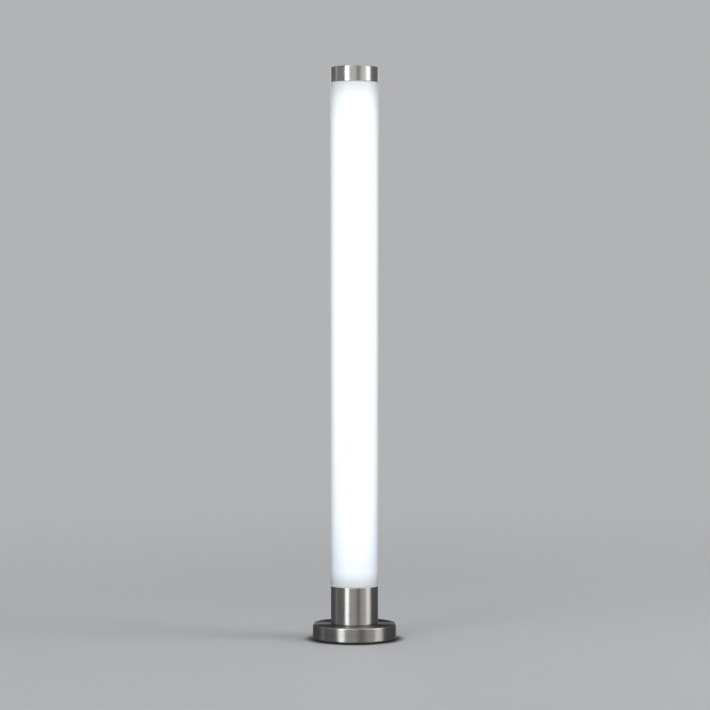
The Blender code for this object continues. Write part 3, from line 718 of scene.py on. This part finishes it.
def bottom_plate(m):
    """Pressed steel plate with a shallow stiffening groove and countersunk screw holes."""
    low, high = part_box("bottom_plate")
    groove_start, groove_end = 50 * MM, 57.5 * MM
    floor_start, floor_end, depth = 51.5 * MM, 56 * MM, 0.5 * MM
    plate = turned(
        "underside_plate",
        [
            (0, low.z, 0),
            (groove_start, low.z, 2 * MM),
            (floor_start, low.z + depth, 1 * MM),
            (floor_end, low.z + depth, 1 * MM),
            (groove_end, low.z, 2 * MM),
            (high.x, low.z, 0.3 * MM),
            (high.x, high.z, 0.2 * MM),
            (0, high.z, 0),
        ],
        "lamp",
        m["plate_steel"],
        ["bottom_plate"],
    )
    sink_mouth, sink_end, sink_length, sink_rise = 5.4 * MM, 2.4 * MM, 3 * MM, 0.6 * MM
    shank_radius, drilled = 2.5 * MM, 8 * MM
    cutters = []
    for number in (1, 2, 3, 4):
        spot = middle_of(f"plate_screw_{number}")
        sink_at = (spot.x, spot.y, low.z + sink_rise)
        cutters.append(hole_cutter("sink", sink_mouth, sink_length, sink_at, end_radius=sink_end))
        cutters.append(hole_cutter("shank_hole", shank_radius, drilled, (spot.x, spot.y, high.z)))
    carve(plate, cutters)


def plate_screws(m):
    """Countersunk screws with a cross recess."""
    head, shank, head_height, end_taper = 3.8 * MM, 2 * MM, 1.8 * MM, 0.6 * MM
    bar_long, bar_wide, bar_deep, bar_rise = 4.4 * MM, 0.9 * MM, 2 * MM, 0.4 * MM
    for number in (1, 2, 3, 4):
        cad_node = f"plate_screw_{number}"
        low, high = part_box(cad_node)
        spot = middle_of(cad_node)
        screw = turned(
            f"countersunk_screw_{number}",
            [
                (0, low.z, 0),
                (head, low.z, 0.25 * MM),
                (shank, low.z + head_height, 0.2 * MM),
                (shank, high.z - end_taper, 0.1 * MM),
                (0, high.z, 0),
            ],
            "lamp",
            m["zinc_steel"],
            [cad_node],
            at=(spot.x, spot.y, 0),
            steps=SMALL_STEPS,
        )
        at = (spot.x, spot.y, low.z + bar_rise)
        turn = math.radians(25 * number)
        crossed = (turn, turn + math.pi / 2)
        carve(screw, [bar_cutter("bar", bar_long, bar_wide, bar_deep, at, angle) for angle in crossed])


def foot_ring(m):
    """Rubber ring with one groove round its underside."""
    low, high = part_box("foot_ring")
    r, width = high.x, 4.8 * MM
    middle = r - width / 2
    groove_mouth, groove_floor, depth = 0.6 * MM, 0.4 * MM, 0.5 * MM
    turned(
        "foot_ring_rubber",
        [
            (r - width, low.z, 0.7 * MM),
            (middle - groove_mouth, low.z, 0.2 * MM),
            (middle - groove_floor, low.z + depth, 0.1 * MM),
            (middle + groove_floor, low.z + depth, 0.1 * MM),
            (middle + groove_mouth, low.z, 0.2 * MM),
            (r, low.z, 0.7 * MM),
            (r, high.z, 0.2 * MM),
            (r - width, high.z, 0.2 * MM),
        ],
        "lamp",
        m["black_rubber"],
        ["foot_ring"],
    )


# ---------------------------------------------------------------- foot switch and inlet
def switch(m):
    """The switch's barrel, open at its top for the button, with a flange on the base's top."""
    low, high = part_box("switch_bezel")
    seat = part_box("base_shell")[1].z + 0.3 * MM
    flange, bore, barrel, web, stem_hole = 11 * MM, 8.3 * MM, 9 * MM, 2 * MM, 2.3 * MM
    turned(
        "switch_flange",
        [
            (flange, seat, 0.2 * MM),
            (flange, high.z, 0.8 * MM),
            (bore, high.z, 0.4 * MM),
            (bore, low.z + web, 0.2 * MM),
            (stem_hole, low.z + web, 0),
            (stem_hole, low.z, 0),
            (barrel, low.z, 0.3 * MM),
            (barrel, seat, 0),
        ],
        "lamp",
        m["switch_steel"],
        ["switch_bezel"],
        at=(0, middle_of("switch_bezel").y, 0),
        steps=MIDSIZE_STEPS,
    )


def button(m):
    """Crowned foot button with three grip rings."""
    low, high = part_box("foot_button")
    r, stem = 8 * MM, 1.9 * MM
    underside, shoulder = low.z + 10.5 * MM, high.z - 1.9 * MM
    crown_drop, crown_radius = 1.5 * MM, 7.2 * MM
    groove = [(-0.25 * MM, 0), (-0.12 * MM, 0.22 * MM), (0.12 * MM, 0.22 * MM), (0.25 * MM, 0)]
    crown = [(0, high.z, 0)]
    for ring in (2.6 * MM, 4.1 * MM, 5.6 * MM):
        for offset, depth in groove:
            radius = ring + offset
            height = high.z - crown_drop * (radius / crown_radius) ** 2 - depth
            crown.append((radius, height, 0))
    turned(
        "press_button",
        [
            *crown,
            (r, shoulder, 1 * MM),
            (r, underside, 0.2 * MM),
            (stem, underside, 0),
            (stem, low.z, 0.3 * MM),
            (0, low.z, 0),
        ],
        "button",
        m["switch_steel"],
        ["foot_button"],
        at=(0, middle_of("foot_button").y, 0),
        steps=MIDSIZE_STEPS,
    )


def coil_route(bottom, top, closed, working, lead, steps_in_turn=36):
    """(angle, height) along a coil that climbs by lead in its closed turns at each end."""
    turns = working + 2 * closed
    count = round(turns * steps_in_turn)
    route = []
    for step in range(count + 1):
        turn = turns * step / count
        if turn < closed:
            height = bottom + lead * turn / closed
        elif turn > turns - closed:
            height = top - lead * (turns - turn) / closed
        else:
            height = bottom + lead + (top - bottom - 2 * lead) * (turn - closed) / working
        route.append((2 * math.pi * turn, height))
    return route


def return_spring(m):
    """Wire coil with closed ends round the button's stem."""
    low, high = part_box("button_spring")
    centre = middle_of("foot_button").y
    wire, radius, sides = 0.4 * MM, 4.6 * MM, 12
    bottom, top = low.z + wire, high.z - wire
    route = coil_route(bottom, top, closed=1, working=2.5, lead=2.05 * wire)
    up = Vector((0, 0, 1))
    rings = [[(radius, centre, bottom)]]
    for angle, height in route:
        out = Vector((math.cos(angle), math.sin(angle), 0))
        middle = out * radius + Vector((0, centre, height))
        rings.append([middle + wire * (math.cos(t) * out + math.sin(t) * up) for t in circle(sides)])
    end = route[-1][0]
    rings.append([(radius * math.cos(end), centre + radius * math.sin(end), top)])
    coil = finish_piece(
        "return_coil",
        skin(rings, sides, closed=False),
        "lamp",
        m["zinc_steel"],
        ["button_spring"],
        sharp=60,
    )
    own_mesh(coil)


def inlet(m):
    """Barrel socket and its centre pin, turned along the Y axis."""
    along_y = Matrix.Rotation(math.radians(-90), 3, "X")
    at = (0, 0, middle_of("dc_inlet").z)
    low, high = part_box("dc_inlet")
    r, mouth, well = high.x, 4.8 * MM, 2.75 * MM
    mouth_floor, well_floor = high.y - 5 * MM, low.y + 1.5 * MM
    turned(
        "inlet_socket",
        [
            (0, low.y, 0),
            (r, low.y, 0.3 * MM),
            (r, high.y, 0.6 * MM),
            (mouth, high.y, 0.5 * MM),
            (mouth, mouth_floor, 0.3 * MM),
            (well, mouth_floor, 0.3 * MM),
            (well, well_floor, 0.2 * MM),
            (0, well_floor, 0),
        ],
        "lamp",
        m["black_plastic"],
        ["dc_inlet"],
        at=at,
        steps=MIDSIZE_STEPS,
        tilt=along_y,
    )
    low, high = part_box("dc_inlet_pin")
    pin, bore, bore_floor = high.x, 0.4 * MM, high.y - 1.5 * MM
    turned(
        "inlet_contact_pin",
        [
            (0, low.y, 0),
            (pin, low.y, 0),
            (pin, high.y, 0.3 * MM),
            (bore, high.y, 0),
            (bore, bore_floor, 0),
            (0, bore_floor, 0),
        ],
        "lamp",
        m["zinc_steel"],
        ["dc_inlet_pin"],
        at=at,
        steps=PIN_STEPS,
        tilt=along_y,
    )


# ---------------------------------------------------------------- seals and what the lifted cap uncovers
def seals(m):
    """Flat rings at both ends of the tube."""
    inner, edge = 46.2 * MM, 0.12 * MM
    for name in ("lower_seal", "upper_seal"):
        low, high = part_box(name)
        outer = high.x
        turned(
            name + "_ring",
            [(inner, low.z, edge), (outer, low.z, edge), (outer, high.z, edge), (inner, high.z, edge)],
            "lamp",
            m["grey_silicone"],
            [name],
        )


def spigot(m):
    """Turned aluminium plug with the neck that the cap slides on."""
    low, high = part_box("upper_spigot")
    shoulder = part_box("diffuser_tube")[1].z
    skirt, neck, bore, plug = high.x, 44.5 * MM, 41 * MM, 8.6 * MM
    plate_top, plate_bottom = shoulder - 16 * MM, shoulder - 20.7 * MM
    groove_low, groove_high, groove_floor = shoulder + 7 * MM, shoulder + 11.6 * MM, neck - 1.2 * MM
    turned(
        "spigot_neck",
        [
            (ROD_HOLE, low.z, 0),
            (plug - 0.6 * MM, low.z, 0.4 * MM),
            (plug, plate_bottom, 0),
            (skirt, plate_bottom, 0.5 * MM),
            (skirt, shoulder, 0),
            (neck, shoulder, 0),
            (neck, groove_low, 0.2 * MM),
            (groove_floor, groove_low, 0.2 * MM),
            (groove_floor, groove_high, 0.2 * MM),
            (neck, groove_high, 0.2 * MM),
            (neck, high.z, 1 * MM),
            (bore, high.z, 0.4 * MM),
            (bore, plate_top, 2 * MM),
            (ROD_HOLE, plate_top, 0.3 * MM),
        ],
        "lamp",
        m["turned_aluminium"],
        ["upper_spigot"],
    )


def neck_ring(m):
    """O-ring in the neck's groove. It grips the cap."""
    low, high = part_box("neck_o_ring")
    wire, sides = 2 * MM, 24
    centre_r, centre_z = high.x - wire, (low.z + high.z) / 2
    section = [(centre_r + wire * math.cos(t), centre_z + wire * math.sin(t), 0) for t in circle(sides)]
    turned("neck_grip_ring", section, "lamp", m["black_rubber"], ["neck_o_ring"])


def tie_rod(m):
    """Plain rod with a rolled thread at its upper end."""
    low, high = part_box("tie_rod")
    r, pitch, depth, threaded = high.x, 1.25 * MM, 0.65 * MM, 26 * MM
    steps, levels_in_pitch, chamfer, end_gap = PIN_STEPS, 8, 0.8 * MM, 0.001 * MM
    start = high.z - threaded
    count = round(threaded / pitch * levels_in_pitch)
    levels = [low.z + end_gap, low.z + chamfer, start]
    levels += [start + threaded * (index + 1) / count for index in range(count)]
    rings = [[(0, 0, low.z)]]
    for level in levels:
        limit = min(r, r - chamfer + (high.z - level), r - chamfer + (level - low.z))
        ring = []
        for step in range(steps):
            turn = step / steps
            phase = ((level - start) / pitch - turn) % 1 if level > start else 0
            cut = depth * (1 - abs(2 * phase - 1)) if level > start else 0
            radius = min(limit, r - cut)
            angle = 2 * math.pi * turn
            ring.append((radius * math.cos(angle), radius * math.sin(angle), level))
        rings.append(ring)
    rings.append([(0, 0, high.z)])
    shape = skin(rings, steps, closed=False)
    finish_piece("threaded_rod", shape, "lamp", m["zinc_steel"], ["tie_rod"], sharp=40)


def rod_nut(m):
    """Hexagon nut, chamfered at both faces, on a plain washer."""
    low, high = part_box("rod_nut_top")
    flat, bore, steps = 6.5 * MM, 4.3 * MM, MIDSIZE_STEPS
    corner = flat / math.cos(math.pi / 6)
    inset, fall, bore_chamfer = 0.3 * MM, 0.9 * MM, 0.6 * MM
    # Each point's radius and height, and whether the hexagon's flats cut it back
    section = [
        (flat - inset, low.z, True),
        (corner, low.z + fall, True),
        (corner, high.z - fall, True),
        (flat - inset, high.z, True),
        (bore + bore_chamfer, high.z, False),
        (bore, high.z - bore_chamfer, False),
        (bore, low.z + bore_chamfer, False),
        (bore + bore_chamfer, low.z, False),
    ]
    rings = []
    for radius, level, hexagonal in section:
        ring = []
        for angle in circle(steps):
            off_corner = (angle % (math.pi / 3)) - math.pi / 6
            reach = min(radius, flat / math.cos(off_corner)) if hexagonal else radius
            ring.append((reach * math.cos(angle), reach * math.sin(angle), level))
        rings.append(ring)
    shape = skin(rings, steps, closed=True)
    finish_piece("top_nut", shape, "lamp", m["zinc_steel"], ["rod_nut_top"], sharp=20)
    low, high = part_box("rod_washer_top")
    turned(
        "top_washer",
        [
            (bore, low.z, 0.1 * MM),
            (high.x, low.z, 0.3 * MM),
            (high.x, high.z, 0.3 * MM),
            (bore, high.z, 0.1 * MM),
        ],
        "lamp",
        m["zinc_steel"],
        ["rod_washer_top"],
        steps=SMALL_STEPS,
    )


# ---------------------------------------------------------------- camera, studio and floor
def camera():
    made = bpy.data.objects.new("camera", bpy.data.cameras.new("camera"))
    bpy.context.scene.collection.objects.link(made)
    made.location = (CAMERA_SIDE, -CAMERA_DISTANCE, CAMERA_HEIGHT)
    made.rotation_euler = (math.radians(90 - CAMERA_PITCH), 0, 0)
    made.data.lens = CAMERA_LENS
    made.data.sensor_width = SENSOR_WIDTH
    made.data.clip_end = CAMERA_REACH
    bpy.context.scene.camera = made


def soft_box(name, angle, height, width, tall, power, colour):
    """A large light facing the lamp. It lights the scene softly and isn't seen or reflected."""
    distance, aim_height = 2.6, 0.6
    data = bpy.data.lights.new(name, "AREA")
    data.shape = "RECTANGLE"
    data.size = width
    data.size_y = tall
    data.energy = power
    data.color = colour
    made = bpy.data.objects.new(name, data)
    bpy.context.scene.collection.objects.link(made)
    around = math.radians(angle)
    made.location = (distance * math.sin(around), -distance * math.cos(around), height)
    aim = Vector((0, 0, aim_height)) - made.location
    made.rotation_euler = aim.to_track_quat("-Z", "Y").to_euler()
    made.visible_camera = False
    made.visible_glossy = False


def studio():
    cool, warm = (0.80, 0.95, 1.0), (1.0, 0.955, 0.965)
    soft_box("left_light", angle=-40, height=2.2, width=1.6, tall=1.6, power=12, colour=cool)
    soft_box("right_light", angle=75, height=2.0, width=1.4, tall=1.6, power=24, colour=warm)


def angle_from(tree, around, middle):
    """Degrees between two directions on the level, at most 180."""
    apart = maths(tree, "ABSOLUTE", maths(tree, "SUBTRACT", around, middle))
    return maths(tree, "PINGPONG", apart, 180.0)


def add_lights(tree, seen, around, lights, share):
    """Adds that share of each upright light to the colour seen."""
    for middle, half, soft, brightness, colour in lights.values():
        away = angle_from(tree, around, middle)
        amount = maths(tree, "MULTIPLY", plateau(tree, away, half, soft), brightness)
        light = scaled(tree, colour, maths(tree, "MULTIPLY", amount, share))
        seen = node(tree, "ShaderNodeVectorMath", {0: seen, 1: light}, operation="ADD").outputs[0]
    return seen


def dim_studio(tree, around, height, below):
    """The even part of the studio, with its gap behind the lamp above the low lights."""
    middle, half, soft, left = REAR_GAP
    gap = plateau(tree, angle_from(tree, around, middle), half, soft)
    under_top = plateau(tree, height, REAR_GAP_TOP, REAR_GAP_EDGE)
    dimmed = maths(tree, "MULTIPLY", gap, maths(tree, "SUBTRACT", under_top, below))
    return scaled(tree, DIM_STUDIO, between(tree, dimmed, 1.0, left))


def reflected_studio(tree):
    """Colour and strength of what the metal reflects from each direction."""
    way = node(tree, "ShaderNodeTexCoord").outputs["Generated"]
    part = node(tree, "ShaderNodeSeparateXYZ", {"Vector": way})
    height = part.outputs["Z"]
    forward = maths(tree, "MULTIPLY", part.outputs["Y"], -1.0)
    around = maths(tree, "DEGREES", maths(tree, "ARCTAN2", part.outputs["X"], forward))
    below = plateau(tree, height, LOW_LIGHT_TOP, LOW_LIGHT_EDGE)
    share = span(tree, height, *SHARE_RISE, LOW_SHARE, 1.0)
    seen = dim_studio(tree, around, height, below)
    seen = add_lights(tree, seen, around, TALL_LIGHTS, share)
    seen = add_lights(tree, seen, around, LOW_LIGHTS, below)
    stops = [((level_height + 1) / 2, value) for level_height, value in STUDIO_LEVELS]
    level = ramp(tree, span(tree, height, -1.0, 1.0), stops)
    return seen, maths(tree, "MULTIPLY", level, STUDIO_STRENGTH)


def world():
    """Even pale surroundings, and a darker studio with upright lights as what the metal reflects."""
    made = bpy.data.worlds.new("studio_world")
    made.use_nodes = True
    tree = made.node_tree
    tree.nodes.clear()
    seen, strength = reflected_studio(tree)
    reflected = node(tree, "ShaderNodeBackground", {"Color": seen, "Strength": strength}).outputs[0]
    pale = node(tree, "ShaderNodeBackground", {"Color": (*BACKDROP, 1), "Strength": 1.0}).outputs[0]
    reflection = node(tree, "ShaderNodeLightPath").outputs["Is Glossy Ray"]
    mix = node(tree, "ShaderNodeMixShader", {0: reflection, 1: pale, 2: reflected}).outputs[0]
    node(tree, "ShaderNodeOutputWorld", {"Surface": mix})
    bpy.context.scene.world = made


def floor_finish():
    """Pale paint with a painted contact shadow round the base, that turns into the backdrop's tone far
    away.
    """
    made = bpy.data.materials.new("floor_sweep")
    made.use_nodes = True
    tree = made.node_tree
    tree.nodes.clear()
    spot = place(tree)
    reach = length_of(tree, spot)
    share = maths(tree, "DIVIDE", reach, maths(tree, "ADD", reach, FLOOR_FADE_REACH))
    far = span(tree, share, 0.0, FLOOR_FADE_SHARE, curve="SMOOTHSTEP")
    speckle = noise(tree, spot, scale=40)
    paint = ramp(tree, speckle, [(0.3, (0.69, 0.695, 0.705)), (0.7, (0.70, 0.705, 0.715))])
    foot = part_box("base_shell")[1].x
    shade = span(tree, reach, foot, foot + CONTACT_SHADE_WIDTH, low=CONTACT_SHADE, curve="SMOOTHSTEP")
    inputs = {"Base Color": scaled(tree, paint, shade), "Roughness": 0.6}
    near = node(tree, "ShaderNodeBsdfPrincipled", inputs).outputs[0]
    glow = node(tree, "ShaderNodeEmission", {"Color": (*BACKDROP, 1), "Strength": 1.0}).outputs[0]
    sweep = node(tree, "ShaderNodeMixShader", {0: far, 1: near, 2: glow}).outputs[0]
    node(tree, "ShaderNodeOutputMaterial", {"Surface": sweep})
    return made


def floor():
    """A pale floor that passes smoothly into the surroundings, so no horizon shows."""
    shape = bmesh.new()
    bmesh.ops.create_circle(shape, cap_ends=True, segments=96, radius=FLOOR_RADIUS)
    mesh = bpy.data.meshes.new("floor")
    shape.to_mesh(mesh)
    shape.free()
    obj = bpy.data.objects.new("floor", mesh)
    bpy.context.scene.collection.objects.link(obj)
    mesh.materials.append(floor_finish())
    obj.visible_glossy = False


def main():
    bpy.context.scene.view_settings.view_transform = "Standard"
    materials = turned_metals() | rough_metals() | plastics()
    dress_cad_nodes(materials)
    cap(materials)
    tube(materials)
    collar(materials)
    base(materials)
    bottom_plate(materials)
    plate_screws(materials)
    foot_ring(materials)
    switch(materials)
    button(materials)
    return_spring(materials)
    inlet(materials)
    seals(materials)
    spigot(materials)
    neck_ring(materials)
    tie_rod(materials)
    rod_nut(materials)
    camera()
    studio()
    world()
    floor()


main()
